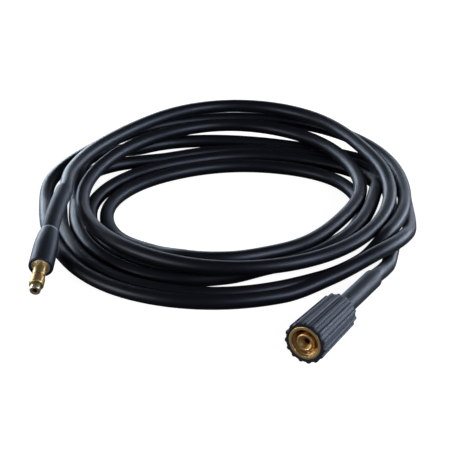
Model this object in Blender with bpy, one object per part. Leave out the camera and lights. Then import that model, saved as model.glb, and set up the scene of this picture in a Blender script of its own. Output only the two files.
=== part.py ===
"""High pressure washer hose, loosely coiled, with a swivel hand nut and a quick connect plug.

Metres, +Z up. The floor is z = 0. The nut's axis is level and its mouth faces -Y.
The plug slopes down to the floor with its tip towards -Y.
"""
import math

import bmesh
import bpy
import numpy as np
from mathutils import Matrix, Vector

# Hose
HOSE_DIAMETER = 0.0125
HOSE_BORE = 0.0064
HOSE_SIDES = 12
RINGS_PER_TURN = 24
TAIL_RINGS = 11

# Clearance between neighbouring pieces
FIT_GAP = 0.0003

# Swivel hand nut, lengths measured back from its mouth
NUT_MOUTH_X = 0.169
NUT_MOUTH_Y = -0.185
NUT_RIB_DIAMETER = 0.0350
NUT_REAR_DIAMETER = 0.0316
NUT_RIB_HEIGHT = 0.0011
NUT_RIB_COUNT = 15
NUT_LENGTH = 0.062
NUT_EDGE_CHAMFER = 0.0010
INSERT_DIAMETER = 0.0277
INSERT_LENGTH = 0.0210
INSERT_THREAD_BORE = 0.0206
INSERT_MOUTH_CHAMFER = 0.0010
INSERT_WEB = 0.0040
NIPPLE_DIAMETER = 0.0148
NIPPLE_MOUTH_DIAMETER = 0.0110
NIPPLE_MOUTH_DEPTH = 0.0032
NIPPLE_EDGE = 0.0008
NIPPLE_SETBACK = 0.0006
NIPPLE_FLANGE = 0.0030
NIPPLE_NECK_DIAMETER = 0.0120
NIPPLE_NECK = 0.0120
WATER_BORE = 0.0042
BARB_LENGTH = 0.0220
BARB_COUNT = 4
BARB_DEPTH = 0.0004

# Moulded sleeve behind the nut
NUT_SLEEVE_DIAMETER = 0.0160
NUT_SLEEVE_SHOWN = 0.0595
NUT_SLEEVE_HIDDEN = 0.0325
SLEEVE_EDGE = 0.0014

# Quick connect plug, lengths measured back from its tip
PLUG_TIP_X = -0.0715
PLUG_TIP_Y = -0.2005
PLUG_HEADING = math.radians(115.6)
PLUG_SLOPE = math.radians(13.5)
PLUG_FLOOR_GAP = 0.0002
TIP_DIAMETER = 0.0092
TIP_LENGTH = 0.0040
TIP_CHAMFER = 0.0008
O_RING_SECTION = 0.0022
O_RING_STAND = 0.0003
PIN_FRONT_DIAMETER = 0.0124
PIN_FRONT_LENGTH = 0.0092
PIN_WAIST_DIAMETER = 0.0102
PIN_WAIST_LENGTH = 0.0018
PIN_REAR_DIAMETER = 0.0112
PIN_REAR_LENGTH = 0.0115
PIN_HIDDEN_DIAMETER = 0.0124
PIN_HIDDEN_LENGTH = 0.0200
COLLAR_DIAMETER = 0.0160
COLLAR_LENGTH = 0.0070
COLLAR_SETBACK = 0.0004
GRIP_DIAMETER = 0.0212
GRIP_NECK_DIAMETER = 0.0164
GRIP_LENGTH = 0.0460
GRIP_LIP = 0.0012
BOOT_DIAMETER = 0.0153
BOOT_LENGTH = 0.0670
BOOT_BEND = math.radians(11.5)
BOOT_BEND_ROLL = math.radians(24)
BOOT_RINGS = 6

# Turned pieces
ROUND_SIDES = 32

# The hose's route: clock hour seen from above (12 is +Y, 3 is +X), distance from the
# coil's middle, and height of the hose's centre. One list for each turn, from the plug.
COIL_MIDDLE = (-0.015, 0.0155)
TURNS = [
    # Top strand, out of the plug and over all the others
    [(8.1, 0.1426, 0.0325), (8.5, 0.1415, 0.0326), (9, 0.1420, 0.0325), (9.5, 0.1460, 0.0323),
     (10, 0.1560, 0.0323), (10.5, 0.1705, 0.0322), (11, 0.1800, 0.0321), (11.5, 0.1800, 0.0321),
     (12, 0.1720, 0.0320), (0.5, 0.1600, 0.0310), (1, 0.1510, 0.0295), (1.5, 0.1485, 0.0275),
     (2, 0.1475, 0.0245), (3, 0.1480, 0.0215), (4, 0.1515, 0.0212), (5, 0.1485, 0.0204),
     (6, 0.1400, 0.0200), (7, 0.1335, 0.0200)],
    # Second layer, ending innermost on the floor
    [(8, 0.1290, 0.0198), (9, 0.1320, 0.0198), (10, 0.1460, 0.0198), (11, 0.1605, 0.0198),
     (12, 0.1515, 0.0198), (1, 0.1330, 0.0196), (2, 0.1210, 0.0192), (3, 0.1140, 0.0192),
     (4, 0.1220, 0.0193), (4.5, 0.1260, 0.0198), (5, 0.1320, 0.0205), (5.5, 0.1290, 0.0183),
     (6, 0.1205, 0.0125), (7, 0.1135, 0.00625)],
    # Innermost strand, on the floor
    [(8, 0.1055, 0.00625), (9, 0.0940, 0.00625), (10, 0.0870, 0.00625), (11, 0.0895, 0.00625),
     (12, 0.1000, 0.00625), (1, 0.1170, 0.00625), (2, 0.1220, 0.00625), (3, 0.1210, 0.00625),
     (4, 0.1180, 0.00625), (4.5, 0.1205, 0.00625), (5, 0.1260, 0.00625), (5.5, 0.1335, 0.00625),
     (6, 0.1355, 0.00625), (7, 0.1280, 0.00625), (7.5, 0.1244, 0.00625)],
    # Next one out, rising between two upper strands at the right
    [(8, 0.1215, 0.00625), (9, 0.1130, 0.00625), (10, 0.1070, 0.00625), (10.5, 0.1070, 0.00625),
     (11, 0.1113, 0.00625), (12, 0.1253, 0.00625), (0.5, 0.1343, 0.00625), (1, 0.1440, 0.0068),
     (1.5, 0.1428, 0.0126), (2, 0.1343, 0.0190), (3, 0.1320, 0.0188), (4, 0.1380, 0.0160),
     (4.5, 0.1383, 0.0135), (5, 0.1400, 0.0075), (5.5, 0.1470, 0.00625), (6, 0.1493, 0.00625),
     (7, 0.1414, 0.00625), (7.5, 0.1376, 0.00625)],
    # Crosses outwards at the left, ends outermost at the front and under the plug
    [(8, 0.1363, 0.00625), (8.5, 0.1418, 0.0150), (8.75, 0.1465, 0.0188), (9, 0.1510, 0.0196),
     (9.5, 0.1528, 0.0135), (10, 0.1570, 0.00625), (11, 0.1510, 0.00625), (12, 0.1526, 0.00625),
     (0.5, 0.1620, 0.00625), (1, 0.1715, 0.00625), (2, 0.1635, 0.00625), (2.5, 0.1675, 0.0082),
     (3, 0.1745, 0.0178), (3.4, 0.1750, 0.0204), (4, 0.1730, 0.0125), (4.5, 0.1760, 0.00625),
     (5, 0.1805, 0.00625), (6, 0.1812, 0.00625), (6.5, 0.1751, 0.00625), (7, 0.1675, 0.00625),
     (7.35, 0.1643, 0.00625)],
    # Outermost at the left, under the top strand at the back, then along the front
    [(8, 0.1635, 0.0070), (8.5, 0.1685, 0.0120), (9, 0.1652, 0.0165), (9.5, 0.1665, 0.0180),
     (10, 0.1705, 0.0192), (11, 0.1785, 0.0192), (12, 0.1815, 0.0192), (1, 0.1715, 0.0192),
     (2, 0.1610, 0.0192), (2.5, 0.1605, 0.0202), (3, 0.1610, 0.0200), (3.5, 0.1615, 0.0100),
     (4, 0.1600, 0.00625), (4.5, 0.1630, 0.00625), (5, 0.1673, 0.00625), (6, 0.1679, 0.00625),
     (6.5, 0.1619, 0.00625), (7, 0.1546, 0.00625), (7.4, 0.1511, 0.00625)],
    # Last strand, on the floor, out under the right side to the nut
    [(8, 0.1503, 0.00625), (8.5, 0.1550, 0.00625), (9, 0.1485, 0.00625), (9.5, 0.1365, 0.00625),
     (10, 0.1220, 0.00625), (10.5, 0.1215, 0.00625), (11, 0.1250, 0.00625), (12, 0.1390, 0.00625),
     (0.5, 0.1484, 0.00625), (1, 0.1578, 0.00625), (1.5, 0.1550, 0.00625), (2, 0.1490, 0.00625),
     (2.5, 0.1520, 0.00625), (2.95, 0.1640, 0.00625), (3.19, 0.1724, 0.0063),
     (3.33, 0.1785, 0.0066), (3.48, 0.1850, 0.0098)],
]
TURNS_TO_TAIL = 6.5
CROSSING_HOURS = (2.75, 3.25, 8.75)

# Finishes
RUBBER = ("rubber", (0.030, 0.031, 0.036, 1), 0.45, 0.0)
PLASTIC = ("black_plastic", (0.055, 0.058, 0.066, 1), 0.50, 0.0)
BRASS = ("brass", (0.78, 0.55, 0.24, 1), 0.25, 1.0)
STEEL = ("bright_steel", (0.80, 0.79, 0.76, 1), 0.25, 1.0)
SEAL = ("green_seal", (0.10, 0.16, 0.07, 1), 0.45, 0.0)


def clear_scene():
    for item in list(bpy.data.objects):
        bpy.data.objects.remove(item, do_unlink=True)


def finish_material(finish):
    name, colour, roughness, metallic = finish
    material = bpy.data.materials.get(name) or bpy.data.materials.new(name)
    material.use_nodes = True
    shader = material.node_tree.nodes["Principled BSDF"]
    shader.inputs["Base Color"].default_value = colour
    shader.inputs["Roughness"].default_value = roughness
    shader.inputs["Metallic"].default_value = metallic
    return material


def add_object(name, bm, finish, parent=None):
    """Turn a bmesh into a named object with its finish, hung on a fitting's empty."""
    bmesh.ops.recalc_face_normals(bm, faces=bm.faces)
    mesh = bpy.data.meshes.new(name)
    bm.to_mesh(mesh)
    bm.free()
    mesh.materials.append(finish_material(finish))
    mesh.shade_smooth()
    mesh.set_sharp_from_angle(angle=math.radians(35))
    item = bpy.data.objects.new(name, mesh)
    bpy.context.scene.collection.objects.link(item)
    item.parent = parent
    return item


def fitting_turn(back):
    """Rotation whose +Z is back, +X is level and +Y is the upper side."""
    side = back.cross(Vector((0, 0, 1))).normalized()
    up = side.cross(back)
    return Matrix((side, up, back)).transposed()


def add_fitting_frame(name, place, back):
    """An empty whose +Z runs back along a fitting's axis, from its front towards the hose."""
    frame = bpy.data.objects.new(name, None)
    bpy.context.scene.collection.objects.link(frame)
    frame.matrix_world = Matrix.Translation(place) @ fitting_turn(back).to_4x4()
    bpy.context.view_layer.update()
    return frame


def turned(outline, sides=ROUND_SIDES, swells=(0,), swollen=0):
    """Turn a closed outline of (radius, distance back) round the local Z axis, from straight down.

    The outline's first points, as many as swollen, are pushed out by the repeating swells."""
    bm = bmesh.new()
    columns = []
    for step in range(sides):
        angle = math.tau * step / sides - math.pi / 2
        column = []
        for i, (radius, back) in enumerate(outline):
            if i < swollen:
                radius += swells[step % len(swells)]
            column.append(bm.verts.new((radius * math.cos(angle), radius * math.sin(angle), back)))
        columns.append(column)
    for near, far in zip(columns, columns[1:] + columns[:1]):
        for i in range(len(outline)):
            after = (i + 1) % len(outline)
            bm.faces.new((near[i], near[after], far[after], far[i]))
    return bm


def nut_mouth():
    """Middle of the nut's mouth. Two neighbouring ribs rest on the floor."""
    return Vector((NUT_MOUTH_X, NUT_MOUTH_Y, NUT_RIB_DIAMETER / 2 * math.cos(math.pi / NUT_RIB_COUNT)))


def nut_back():
    return Vector((0, 1, 0))


def insert_web_front():
    return INSERT_LENGTH - INSERT_WEB


def nut_hose_end():
    """Distance from the nut's mouth back to the hose's cut end."""
    return insert_web_front() + NIPPLE_NECK


def nut_sleeve_front():
    return NUT_LENGTH - NUT_SLEEVE_HIDDEN


def nut_sleeve_rear():
    return NUT_LENGTH + NUT_SLEEVE_SHOWN


def plug_back():
    """Unit vector from the plug's tip back along its axis."""
    level = math.cos(PLUG_SLOPE)
    return Vector((level * math.cos(PLUG_HEADING), level * math.sin(PLUG_HEADING), math.sin(PLUG_SLOPE)))


def pin_shoulder():
    """Distance from the plug's tip back to the pin's first shoulder, behind the seal."""
    return TIP_LENGTH + O_RING_SECTION + 2 * FIT_GAP


def grip_mouth():
    """Distance from the plug's tip back to the mouth of its grip."""
    return pin_shoulder() + PIN_FRONT_LENGTH + PIN_WAIST_LENGTH + PIN_REAR_LENGTH


def plug_tip():
    """The tip's centre, at the height that lets the lowest part of the plug meet the floor."""
    low_places = [
        (TIP_DIAMETER / 2, TIP_CHAMFER),
        (PIN_FRONT_DIAMETER / 2, pin_shoulder() + TIP_CHAMFER),
        (GRIP_DIAMETER / 2, grip_mouth() + GRIP_LIP),
    ]
    height = max(radius * math.cos(PLUG_SLOPE) - back * math.sin(PLUG_SLOPE) for radius, back in low_places)
    return Vector((PLUG_TIP_X, PLUG_TIP_Y, height + PLUG_FLOOR_GAP))


def plug_hose_end():
    """Distance from the plug's tip back to the hose's cut end."""
    return grip_mouth() + PIN_HIDDEN_LENGTH


def boot_front():
    return grip_mouth() + GRIP_LENGTH + FIT_GAP


def boot_rear():
    return boot_front() + BOOT_LENGTH


def boot_line(back):
    """The plug's centre line in its own frame, straight and then bent: place, way and sag."""
    ahead = Vector((0, 0, 1))
    sag = Vector((math.sin(BOOT_BEND_ROLL), -math.cos(BOOT_BEND_ROLL), 0))
    straight = min(back, boot_front())
    radius = BOOT_LENGTH / BOOT_BEND
    angle = (back - straight) / radius
    place = ahead * (straight + radius * math.sin(angle)) + sag * radius * (1 - math.cos(angle))
    way = ahead * math.cos(angle) + sag * math.sin(angle)
    return place, way, sag * math.cos(angle) - ahead * math.sin(angle)


def plug_line(back):
    """The same line's place and way in the shared frame."""
    place, way, sag = boot_line(back)
    turn = fitting_turn(plug_back())
    return plug_tip() + turn @ place, turn @ way


def bend_boot(bm):
    """Move a straight turned boot onto the bent centre line."""
    straight_sag = boot_line(0)[2]
    for vert in bm.verts:
        place, way, sag = boot_line(vert.co.z)
        across = Vector((vert.co.x, vert.co.y, 0))
        vert.co = place + across + (sag - straight_sag) * across.dot(straight_sag)


def barb_outline(start, bore_radius):
    """The barbed shank that sits in the hose, from its collar to its end and back to its bore."""
    top = HOSE_BORE / 2 - FIT_GAP
    root = top - BARB_DEPTH
    pitch = BARB_LENGTH / BARB_COUNT
    points = []
    for step in range(BARB_COUNT):
        points.append((root, start + step * pitch))
        points.append((top, start + (step + 0.35) * pitch))
    points.append((root, start + BARB_LENGTH))
    points.append((bore_radius, start + BARB_LENGTH))
    return points


def make_nut_grip(frame):
    """Ribbed plastic body of the hand nut, hollow from end to end."""
    root = NUT_RIB_DIAMETER / 2 - NUT_RIB_HEIGHT
    rear_root = NUT_REAR_DIAMETER / 2 - NUT_RIB_HEIGHT
    seat = INSERT_DIAMETER / 2 + FIT_GAP
    passage = NUT_SLEEVE_DIAMETER / 2 + FIT_GAP
    step = INSERT_LENGTH + FIT_GAP
    outer_wall = [
        (root - NUT_EDGE_CHAMFER / 2, 0),
        (root, NUT_EDGE_CHAMFER),
        (rear_root, NUT_LENGTH - 2 * NUT_EDGE_CHAMFER),
        (rear_root - 2 * NUT_EDGE_CHAMFER, NUT_LENGTH),
    ]
    inner_wall = [(passage, NUT_LENGTH), (passage, step), (seat, step), (seat, 0)]
    swells = (0, NUT_RIB_HEIGHT / 2, NUT_RIB_HEIGHT, NUT_RIB_HEIGHT / 2)
    bm = turned(outer_wall + inner_wall, NUT_RIB_COUNT * len(swells), swells, len(outer_wall))
    return add_object("nut_grip", bm, PLASTIC, frame)


def make_nut_insert(frame):
    """Brass threaded insert, with the web that pulls on the nipple's flange."""
    outer = INSERT_DIAMETER / 2
    bore = INSERT_THREAD_BORE / 2
    hole = NIPPLE_NECK_DIAMETER / 2 + FIT_GAP
    outline = [
        (bore + INSERT_MOUTH_CHAMFER, 0),
        (outer - INSERT_MOUTH_CHAMFER / 2, 0),
        (outer, INSERT_MOUTH_CHAMFER / 2),
        (outer, INSERT_LENGTH),
        (hole, INSERT_LENGTH),
        (hole, insert_web_front()),
        (bore, insert_web_front()),
        (bore, INSERT_MOUTH_CHAMFER),
    ]
    return add_object("nut_insert", turned(outline), BRASS, frame)


def make_nut_nipple(frame):
    """Brass nipple with its flange in the insert and its barbs in the hose."""
    tube = NIPPLE_DIAMETER / 2
    neck = NIPPLE_NECK_DIAMETER / 2
    flange = INSERT_THREAD_BORE / 2 - FIT_GAP
    mouth = NIPPLE_MOUTH_DIAMETER / 2
    water = WATER_BORE / 2
    flange_back = insert_web_front() - FIT_GAP
    flange_front = flange_back - NIPPLE_FLANGE
    shank = nut_hose_end() - FIT_GAP
    outline = [
        (mouth, NIPPLE_SETBACK),
        (tube - NIPPLE_EDGE, NIPPLE_SETBACK),
        (tube, NIPPLE_SETBACK + NIPPLE_EDGE),
        (tube, flange_front),
        (flange, flange_front),
        (flange, flange_back),
        (neck, flange_back),
        (neck, shank),
        *barb_outline(shank, water),
        (water, NIPPLE_SETBACK + NIPPLE_MOUTH_DEPTH),
    ]
    return add_object("nut_nipple", turned(outline), BRASS, frame)


def make_nut_sleeve(frame):
    """Smooth moulded sleeve over the hose's end, running into the back of the nut."""
    outer = NUT_SLEEVE_DIAMETER / 2
    inner = HOSE_DIAMETER / 2 + FIT_GAP
    front, rear = nut_sleeve_front(), nut_sleeve_rear()
    outline = [
        (inner, front),
        (outer, front),
        (outer, rear - SLEEVE_EDGE),
        (outer - SLEEVE_EDGE / 2, rear),
        (inner, rear),
    ]
    return add_object("nut_sleeve", turned(outline), PLASTIC, frame)


def make_plug_nipple(frame):
    """Brass quick connect pin, bored through, with its barbs in the hose."""
    tip = TIP_DIAMETER / 2
    water = WATER_BORE / 2
    bulge = PIN_FRONT_DIAMETER / 2
    waist = PIN_WAIST_DIAMETER / 2
    rear = PIN_REAR_DIAMETER / 2
    hidden = PIN_HIDDEN_DIAMETER / 2
    seat = tip + O_RING_STAND - O_RING_SECTION - FIT_GAP
    shoulder = pin_shoulder()
    bulge_end = shoulder + PIN_FRONT_LENGTH
    rear_start = bulge_end + PIN_WAIST_LENGTH
    hidden_start = grip_mouth() + COLLAR_SETBACK + COLLAR_LENGTH + FIT_GAP
    shank = plug_hose_end() - FIT_GAP
    outline = [
        (water + TIP_CHAMFER / 2, 0),
        (tip - TIP_CHAMFER, 0),
        (tip, TIP_CHAMFER),
        (tip, TIP_LENGTH),
        (seat, TIP_LENGTH),
        (seat, shoulder),
        (bulge - TIP_CHAMFER, shoulder),
        (bulge, shoulder + TIP_CHAMFER),
        (bulge, bulge_end - TIP_CHAMFER),
        (bulge - TIP_CHAMFER, bulge_end),
        (waist, bulge_end),
        (waist, rear_start),
        (rear, rear_start + TIP_CHAMFER / 2),
        (rear, hidden_start),
        (hidden, hidden_start),
        (hidden, shank),
        *barb_outline(shank, water),
        (water, TIP_CHAMFER / 2),
    ]
    return add_object("plug_nipple", turned(outline), BRASS, frame)


def make_plug_o_ring(frame):
    """Round seal in the groove behind the tip."""
    section = O_RING_SECTION / 2
    middle = TIP_DIAMETER / 2 + O_RING_STAND - section
    centre = (TIP_LENGTH + pin_shoulder()) / 2
    corners = 8
    outline = []
    for step in range(corners):
        angle = math.tau * (step + 0.5) / corners
        outline.append((middle + section * math.cos(angle), centre + section * math.sin(angle)))
    return add_object("plug_o_ring", turned(outline), SEAL, frame)


def make_plug_collar(frame):
    """Bright ring round the pin, in the mouth of the grip."""
    outer = COLLAR_DIAMETER / 2
    inner = PIN_REAR_DIAMETER / 2 + FIT_GAP
    front = grip_mouth() + COLLAR_SETBACK
    rear = front + COLLAR_LENGTH
    outline = [(inner, front), (outer, front), (outer, rear), (inner, rear)]
    return add_object("plug_collar", turned(outline), STEEL, frame)


def make_plug_grip(frame):
    """Fatter grip of the plug, tapered to the boot behind it."""
    outer = GRIP_DIAMETER / 2
    neck = GRIP_NECK_DIAMETER / 2
    taper = outer - neck
    collar_seat = COLLAR_DIAMETER / 2 + FIT_GAP
    collar_end = grip_mouth() + COLLAR_SETBACK + COLLAR_LENGTH + FIT_GAP
    inner = HOSE_DIAMETER / 2 + FIT_GAP
    front = grip_mouth()
    rear = front + GRIP_LENGTH
    outline = [
        (collar_seat, front),
        (outer - GRIP_LIP, front),
        (outer - GRIP_LIP * 0.3, front + GRIP_LIP * 0.3),
        (outer, front + GRIP_LIP),
        (outer, front + GRIP_LENGTH * 0.50),
        (outer - taper * 0.25, front + GRIP_LENGTH * 0.75),
        (outer - taper * 0.65, front + GRIP_LENGTH * 0.92),
        (neck, rear),
        (inner, rear),
        (inner, collar_end),
        (collar_seat, collar_end),
    ]
    return add_object("plug_grip", turned(outline), PLASTIC, frame)


def make_plug_boot(frame):
    """Smooth moulded boot on the hose behind the grip, bent a little with the hose."""
    outer = BOOT_DIAMETER / 2
    inner = HOSE_DIAMETER / 2 + FIT_GAP
    front, rear = boot_front(), boot_rear()
    last = rear - SLEEVE_EDGE
    backs = [front + (last - front) * step / BOOT_RINGS for step in range(BOOT_RINGS + 1)]
    outline = [(outer, back) for back in backs]
    outline.append((outer - SLEEVE_EDGE / 2, rear))
    outline.append((inner, rear))
    outline.extend((inner, back) for back in reversed(backs))
    bm = turned(outline)
    bend_boot(bm)
    return add_object("plug_boot", bm, PLASTIC, frame)


def route_points():
    """The route's own points, from where the hose leaves the boot to where it enters the sleeve."""
    points = [plug_line(boot_rear())[0]]
    for turn in TURNS:
        for hour, distance, height in turn:
            angle = math.radians(hour * 30)
            points.append(Vector((COIL_MIDDLE[0] + distance * math.sin(angle),
                                  COIL_MIDDLE[1] + distance * math.cos(angle), height)))
    points.append(nut_mouth() + nut_back() * nut_sleeve_rear())
    return np.array(points)


def smooth_curve(points, first_way, last_way, steps):
    """One curve with continuous bend through the points. Heights never overshoot them."""
    spans = np.linalg.norm(np.diff(points, axis=0), axis=1)
    count = len(points)
    system = np.eye(count)
    known = np.zeros((count, 3))
    known[0], known[-1] = first_way, last_way
    for i in range(1, count - 1):
        before, after = spans[i - 1], spans[i]
        system[i, i - 1:i + 2] = after, 2 * (before + after), before
        known[i] = 3 * (after * (points[i] - points[i - 1]) / before
                        + before * (points[i + 1] - points[i]) / after)
    slopes = np.linalg.solve(system, known)
    climbs = np.diff(points[:, 2]) / spans
    for i in range(1, count - 1):
        product = climbs[i - 1] * climbs[i]
        slopes[i, 2] = 2 * product / (climbs[i - 1] + climbs[i]) if product > 0 else 0
    curve = []
    for i in range(count - 1):
        for t in np.arange(steps) / steps:
            curve.append((2 * t**3 - 3 * t**2 + 1) * points[i] + (t**3 - 2 * t**2 + t) * spans[i] * slopes[i]
                         + (3 * t**2 - 2 * t**3) * points[i + 1] + (t**3 - t**2) * spans[i] * slopes[i + 1])
    curve.append(points[-1])
    return np.array(curve)


def coil_stations():
    """Ring centres in the coil, at the same clock angles in every turn, so turns stay apart."""
    curve = smooth_curve(route_points(), plug_line(boot_rear())[1], -nut_back(), 32)
    angles = np.unwrap(np.arctan2(curve[:, 0] - COIL_MIDDLE[0], curve[:, 1] - COIL_MIDDLE[1]))
    step = math.tau / RINGS_PER_TURN
    first = math.ceil(angles[0] / step + 0.4) * step
    last = angles[0] + math.tau * TURNS_TO_TAIL
    wanted = list(np.arange(first, last, step))
    for hour in CROSSING_HOURS:
        wanted.extend(np.arange(math.radians(hour * 30) - math.tau, last, math.tau))
    wanted = sorted(angle for angle in wanted if angle >= first)
    wanted.extend(np.linspace(wanted[-1], angles[-1], TAIL_RINGS + 1)[1:-1])
    spread = [np.interp(wanted, angles, curve[:, axis]) for axis in range(3)]
    return [Vector(place) for place in np.transpose(spread)]


def ring_of(bm, place, way, radius):
    """A ring of vertices square to the hose, with one vertex straight below its centre."""
    side = way.cross(Vector((0, 0, 1))).normalized()
    up = side.cross(way)
    ring = []
    for step in range(HOSE_SIDES):
        angle = math.tau * step / HOSE_SIDES
        ring.append(bm.verts.new(place - up * radius * math.cos(angle) + side * radius * math.sin(angle)))
    return ring


def make_hose():
    """The whole hose along its real turns, open from end to end."""
    backs = [plug_hose_end()]
    backs.extend(boot_front() + BOOT_LENGTH * step / BOOT_RINGS for step in range(BOOT_RINGS + 1))
    stations = [plug_line(back) for back in backs]
    middle = coil_stations()
    nut_exit = nut_mouth() + nut_back() * nut_sleeve_rear()
    around = [stations[-1][0], *middle, nut_exit]
    for i, place in enumerate(middle):
        stations.append((place, (around[i + 2] - around[i]).normalized()))
    stations.append((nut_exit, -nut_back()))
    stations.append((nut_mouth() + nut_back() * nut_hose_end(), -nut_back()))
    bm = bmesh.new()
    outer = [ring_of(bm, place, way, HOSE_DIAMETER / 2) for place, way in stations]
    inner = [ring_of(bm, place, way, HOSE_BORE / 2) for place, way in stations]
    strips = [*zip(outer, outer[1:]), *zip(inner, inner[1:]), (outer[0], inner[0]), (outer[-1], inner[-1])]
    for near, far in strips:
        for step in range(HOSE_SIDES):
            after = (step + 1) % HOSE_SIDES
            bm.faces.new((near[step], near[after], far[after], far[step]))
    return add_object("hose", bm, RUBBER)


def build():
    clear_scene()
    make_hose()
    nut = add_fitting_frame("nut_axis", nut_mouth(), nut_back())
    make_nut_grip(nut)
    make_nut_insert(nut)
    make_nut_nipple(nut)
    make_nut_sleeve(nut)
    plug = add_fitting_frame("plug_axis", plug_tip(), plug_back())
    make_plug_nipple(plug)
    make_plug_o_ring(plug)
    make_plug_collar(plug)
    make_plug_grip(plug)
    make_plug_boot(plug)


build()
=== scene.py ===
# Coiled pressure washer hose with a swivel hand nut and a quick connect plug.
# Metres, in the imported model's frame: floor at z = 0, the nut's mouth faces -Y.
import math

import bmesh
import bpy
import numpy as np
from mathutils import Matrix, Vector


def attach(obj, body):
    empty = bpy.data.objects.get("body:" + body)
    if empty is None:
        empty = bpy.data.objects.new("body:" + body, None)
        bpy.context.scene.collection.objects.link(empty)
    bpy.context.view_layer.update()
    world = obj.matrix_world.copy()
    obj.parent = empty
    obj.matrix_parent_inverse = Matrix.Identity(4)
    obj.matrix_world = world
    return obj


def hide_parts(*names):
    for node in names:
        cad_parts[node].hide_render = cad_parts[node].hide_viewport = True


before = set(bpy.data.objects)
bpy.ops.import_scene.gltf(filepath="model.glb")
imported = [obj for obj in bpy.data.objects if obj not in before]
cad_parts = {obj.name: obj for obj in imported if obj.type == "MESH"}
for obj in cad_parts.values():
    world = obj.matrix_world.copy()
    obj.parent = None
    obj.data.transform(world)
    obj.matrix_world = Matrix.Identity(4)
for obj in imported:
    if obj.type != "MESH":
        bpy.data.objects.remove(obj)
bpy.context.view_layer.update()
print("frame loaded:", len(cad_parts), "nodes")

fitGap = 0.0003  # clearance between neighbouring pieces, as in the part


# Camera, floor and studio light.

camera = {
    "target": (-0.0029, -0.0075, 0.0),
    "look": (-0.449, 0.778, -0.438),
    "distance": 1.440,
    "lens": 128.7,
    "sensor": 36,
    "nearest": 0.05,
}

studio = {
    "floorSize": 4.0,
    "floorColour": (0.32, 0.32, 0.32, 1),
    "floorRoughness": 0.9,
    "floorGlow": 0.94,
    # what the hose's gloss sees of the floor
    "floorBounce": (0.08, 0.08, 0.085, 1),
    "skyColour": (0.017, 0.0175, 0.020, 1),
    "backdropColour": (0.74, 0.84, 1.0, 1),
    "backdropWay": (-0.5, 0.866, 0.0),
    # cosines of the angle from its middle, where it starts and where it is full
    "backdropWidth": (0.05, 0.60),
    # heights on the sky, where it starts to fade and where it is gone
    "backdropTop": (0.14, 0.32),
    "skyStrength": 3.2,
}

# name, place, aimed at, width, length, watts, colour
softboxes = [
    ("leftBox", (-1.25, 0.50, 0.22), (-0.15, 0, 0), 1.3, 0.35, 12.0, (0.78, 0.89, 1.0)),
    ("rightBox", (0.90, 0.95, 0.24), (0.15, 0, 0), 1.3, 0.35, 12.0, (0.82, 0.89, 1.0)),
    ("sideBox", (1.10, -0.25, 0.55), (0.10, -0.10, 0), 0.5, 0.5, 9.0, (0.92, 0.95, 1.0)),
    ("frontBox", (-0.70, -1.10, 0.22), (0, -0.15, 0), 0.7, 0.3, 6.5, (1.0, 0.97, 0.92)),
]


def addCamera():
    data = bpy.data.cameras.new("photoCamera")
    data.lens = camera["lens"]
    data.sensor_width = camera["sensor"]
    data.clip_start = camera["nearest"]
    item = bpy.data.objects.new("photoCamera", data)
    bpy.context.scene.collection.objects.link(item)
    look = Vector(camera["look"]).normalized()
    item.location = Vector(camera["target"]) - look * camera["distance"]
    item.rotation_euler = look.to_track_quat("-Z", "Y").to_euler()
    bpy.context.scene.camera = item


def addSoftboxes():
    for name, place, aim, width, length, watts, colour in softboxes:
        data = bpy.data.lights.new(name, "AREA")
        data.shape = "RECTANGLE"
        data.size = width
        data.size_y = length
        data.energy = watts
        data.color = colour
        item = bpy.data.objects.new(name, data)
        item.location = place
        way = Vector(aim) - Vector(place)
        item.rotation_euler = way.to_track_quat("-Z", "Y").to_euler()
        bpy.context.scene.collection.objects.link(item)


# Material helpers.


def addNode(tree, kind, inputs=None, **settings):
    node = tree.nodes.new(kind)
    for key, value in settings.items():
        setattr(node, key, value)
    for key, value in (inputs or {}).items():
        node.inputs[key].default_value = value
    return node


def newGroup(name, inputs, outputs):
    group = bpy.data.node_groups.new(name, "ShaderNodeTree")
    for label, kind, value in inputs:
        socket = group.interface.new_socket(label, in_out="INPUT", socket_type=kind)
        socket.default_value = value
    for label, kind in outputs:
        group.interface.new_socket(label, in_out="OUTPUT", socket_type=kind)
    return group, group.nodes.new("NodeGroupInput"), group.nodes.new("NodeGroupOutput")


def newMaterial(name, metallic, coat=0.0, gleam=(1, 1, 1, 1)):
    material = bpy.data.materials.new(name)
    material.use_nodes = True
    tree = material.node_tree
    shader = tree.nodes["Principled BSDF"]
    shader.inputs["Metallic"].default_value = metallic
    shader.inputs["Coat Weight"].default_value = coat
    shader.inputs["Specular Tint"].default_value = gleam
    return material, tree, shader


def mixColours(tree, factor, first, second):
    # first and second are colours or sockets
    mix = addNode(tree, "ShaderNodeMix", data_type="RGBA")
    tree.links.new(factor, mix.inputs[0])
    for socket, value in ((mix.inputs[6], first), (mix.inputs[7], second)):
        if isinstance(value, tuple):
            socket.default_value = value
        else:
            tree.links.new(value, socket)
    return mix.outputs[2]


def spread(tree, value, low, high, fromLow=0.0, fromHigh=1.0):
    # rescale a mask to a range
    node = addNode(tree, "ShaderNodeMapRange", {1: fromLow, 2: fromHigh, 3: low, 4: high})
    tree.links.new(value, node.inputs[0])
    return node.outputs[0]


def combine(tree, operation, first, second):
    node = addNode(tree, "ShaderNodeMath", operation=operation)
    for socket, value in zip(node.inputs, (first, second)):
        if isinstance(value, (int, float)):
            socket.default_value = value
        else:
            tree.links.new(value, socket)
    return node.outputs[0]


def addBump(tree, shader, height, distance, strength):
    bump = addNode(tree, "ShaderNodeBump", {"Strength": strength, "Distance": distance})
    tree.links.new(height, bump.inputs["Height"])
    tree.links.new(bump.outputs["Normal"], shader.inputs["Normal"])


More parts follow.
